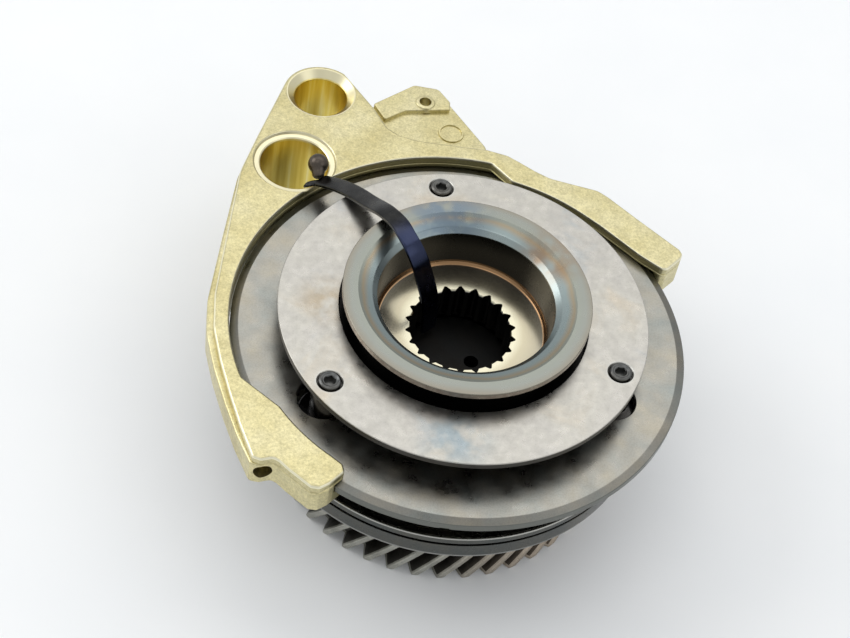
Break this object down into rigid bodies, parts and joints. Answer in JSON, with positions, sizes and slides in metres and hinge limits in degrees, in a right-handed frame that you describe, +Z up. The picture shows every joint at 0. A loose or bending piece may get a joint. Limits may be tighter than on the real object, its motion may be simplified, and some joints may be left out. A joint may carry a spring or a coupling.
{
  "type": "planetary gear set",
  "caption": "Compact planetary gear set with a sliding flanged sleeve between top plate and carrier drum, a helical output gear below, and a cast shift fork straddling the sleeve rim",
  "frame": {"origin": "Centre of the flat stop disc inside the splined bore, on the gear axis, where a shaft end comes to rest", "axes": "+Z runs up the gear axis from the helical gear towards the collar; -Y faces the open side of the fork, and the fork's two round bores lie towards -X and +Y"},
  "size_m": [0.1624, 0.188, 0.0869],
  "materials": {
    "gear_steel": "hobbed and heat-treated steel, grey-brown flanks, bright chamfers",
    "hub_steel": "ground steel with straw, brown and blue temper colours",
    "plate_steel": "satin light grey sheet steel with faint cloudy heat tints",
    "sleeve_steel": "turned satin grey steel",
    "drum_steel": "turned satin grey steel",
    "screw_steel": "dark oiled steel with a bright rim",
    "pin_steel": "dark ground steel",
    "planet_steel": "ground gear steel",
    "bronze": "plain bearing bronze",
    "spring_steel": "dark spring steel",
    "fork_brass": "pale yellow cast brass, fine sand grain",
    "strap_black": "glossy black with bevelled edges",
    "ball_steel": "dark grey-brown satin"
  },
  "bodies": {
    "output_gear": {"output_gear": "gear_steel", "gear_bush": "bronze", "gear_thrust_washer": "bronze"},
    "carrier": {"carrier_drum": "drum_steel", "carrier_cage": "drum_steel", "top_plate": "plate_steel", "guide_pin_1": "pin_steel", "guide_pin_2": "pin_steel", "guide_pin_3": "pin_steel", "plate_screw_1": "screw_steel", "plate_screw_2": "screw_steel", "plate_screw_3": "screw_steel", "carrier_bolt_1": "screw_steel", "carrier_bolt_2": "screw_steel", "carrier_bolt_3": "screw_steel", "planet_pin_1": "pin_steel", "planet_pin_2": "pin_steel", "planet_pin_3": "pin_steel", "upper_washer_1": "bronze", "upper_washer_2": "bronze", "upper_washer_3": "bronze", "lower_washer_1": "bronze", "lower_washer_2": "bronze", "lower_washer_3": "bronze"},
    "planet_1": {"planet_gear_1": "planet_steel", "planet_bush_1": "bronze"},
    "planet_2": {"planet_gear_2": "planet_steel", "planet_bush_2": "bronze"},
    "planet_3": {"planet_gear_3": "planet_steel", "planet_bush_3": "bronze"},
    "sun_hub": {"sun_hub": "hub_steel", "shaft_stop_disc": "spring_steel", "stop_snap_ring": "spring_steel", "hub_thrust_washer": "bronze", "hub_circlip": "spring_steel"},
    "sleeve": {"shift_sleeve": "sleeve_steel"},
    "fork": {"shift_fork": "fork_brass", "retaining_strap": "strap_black", "strap_ball": "ball_steel"}
  },
  "joints": [
    {"name": "carrier_spin", "type": "hinge", "parent": "output_gear", "child": "carrier", "pos_m": [0, 0, 0], "axis": [0, 0, 1], "continuous": true},
    {"name": "sun_spin", "type": "hinge", "parent": "output_gear", "child": "sun_hub", "pos_m": [0, 0, 0], "axis": [0, 0, 1], "continuous": true},
    {"name": "planet_spin_1", "type": "hinge", "parent": "carrier", "child": "planet_1", "pos_m": [0.02469, 0.0262, -0.028], "axis": [0, 0, 1], "continuous": true},
    {"name": "planet_spin_2", "type": "hinge", "parent": "carrier", "child": "planet_2", "pos_m": [-0.03503, 0.00828, -0.028], "axis": [0, 0, 1], "continuous": true},
    {"name": "planet_spin_3", "type": "hinge", "parent": "carrier", "child": "planet_3", "pos_m": [0.01035, -0.03448, -0.028], "axis": [0, 0, 1], "continuous": true},
    {"name": "sleeve_shift", "type": "slide", "parent": "carrier", "child": "sleeve", "axis": [0, 0, 1], "range_m": [0, 0.0055]},
    {"name": "fork_turn", "type": "hinge", "parent": "sleeve", "child": "fork", "pos_m": [0, 0, 0], "axis": [0, 0, 1], "continuous": true}
  ],
  "couplings": [
    {"joint": "sun_spin", "follows": "carrier_spin", "ratio": 2.6667},
    {"joint": "planet_spin_1", "follows": "carrier_spin", "ratio": -5},
    {"joint": "planet_spin_2", "follows": "carrier_spin", "ratio": -5},
    {"joint": "planet_spin_3", "follows": "carrier_spin", "ratio": -5}
  ]
}
